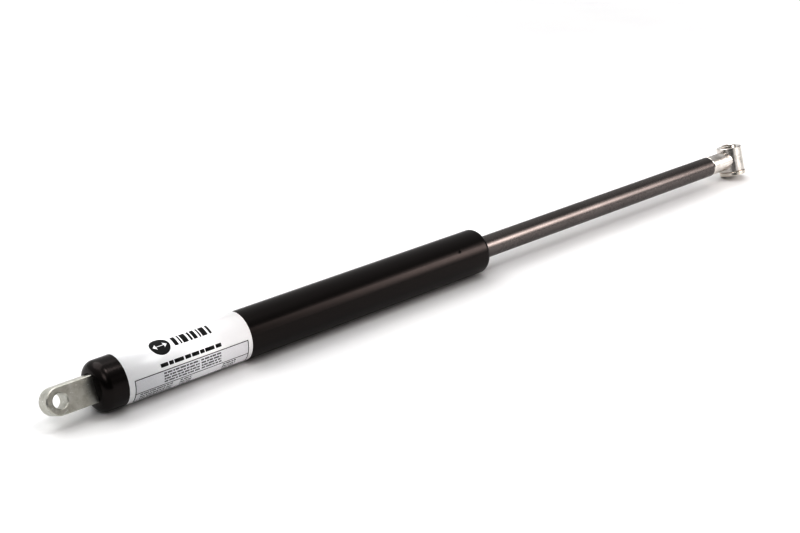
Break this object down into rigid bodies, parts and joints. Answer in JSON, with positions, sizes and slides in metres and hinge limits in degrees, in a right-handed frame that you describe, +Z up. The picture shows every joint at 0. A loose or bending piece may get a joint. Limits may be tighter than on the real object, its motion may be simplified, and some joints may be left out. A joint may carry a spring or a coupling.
{
  "type": "gas strut stay",
  "caption": "Extended gas strut with a painted tube, a dark piston rod, a flat eye at the rear and a barrel eye at the rod end.",
  "frame": {"origin": "centre of the rear eye's pin bore", "axes": "+X along the strut from the rear eye to the rod end; +Z up as the strut lies on a table, with the tube's underside 14 mm below the origin"},
  "size_m": [0.5759, 0.0282, 0.0281],
  "materials": {
    "tube_paint": "satin black paint",
    "label_film": "glossy white printed film",
    "zinc_plate": "dull clear zinc plating",
    "nitrided_steel": "ground and black nitrided",
    "bright_steel": "bright turned and plated",
    "bush_steel": "turned steel",
    "plain_steel": "plain steel",
    "bronze": "sintered bronze",
    "aluminium": "turned",
    "rubber": "moulded nitrile",
    "white_plastic": "moulded"
  },
  "bodies": {
    "tube": {"pressure_tube": "tube_paint", "name_label": "label_film", "rear_eye": "zinc_plate", "rear_plug": "tube_paint", "rear_plug_seal": "rubber", "rear_stud": "plain_steel", "fill_ball": "plain_steel", "fill_screw": "plain_steel", "retaining_ring": "plain_steel", "backing_washer": "plain_steel", "rod_seal": "rubber", "seal_support": "white_plastic", "rod_guide": "bronze", "wiper_ring": "white_plastic", "front_washer": "tube_paint"},
    "piston_ring": {"piston_ring": "white_plastic"},
    "rod": {"piston_rod": "nitrided_steel", "orifice_disc": "plain_steel", "piston": "aluminium", "piston_washer": "plain_steel", "piston_nut": "plain_steel", "front_eye": "bright_steel", "front_bush": "bush_steel"}
  },
  "joints": [
    {"name": "rod_stroke", "type": "slide", "parent": "tube", "child": "piston_ring", "axis": [1, 0, 0], "range_m": [-0.225, 0], "stiffness_N_per_m": 620, "springref_m": 0.645},
    {"name": "rod_spin", "type": "hinge", "parent": "piston_ring", "child": "rod", "pos_m": [0.2657, 0, 0], "axis": [1, 0, 0], "continuous": true}
  ]
}
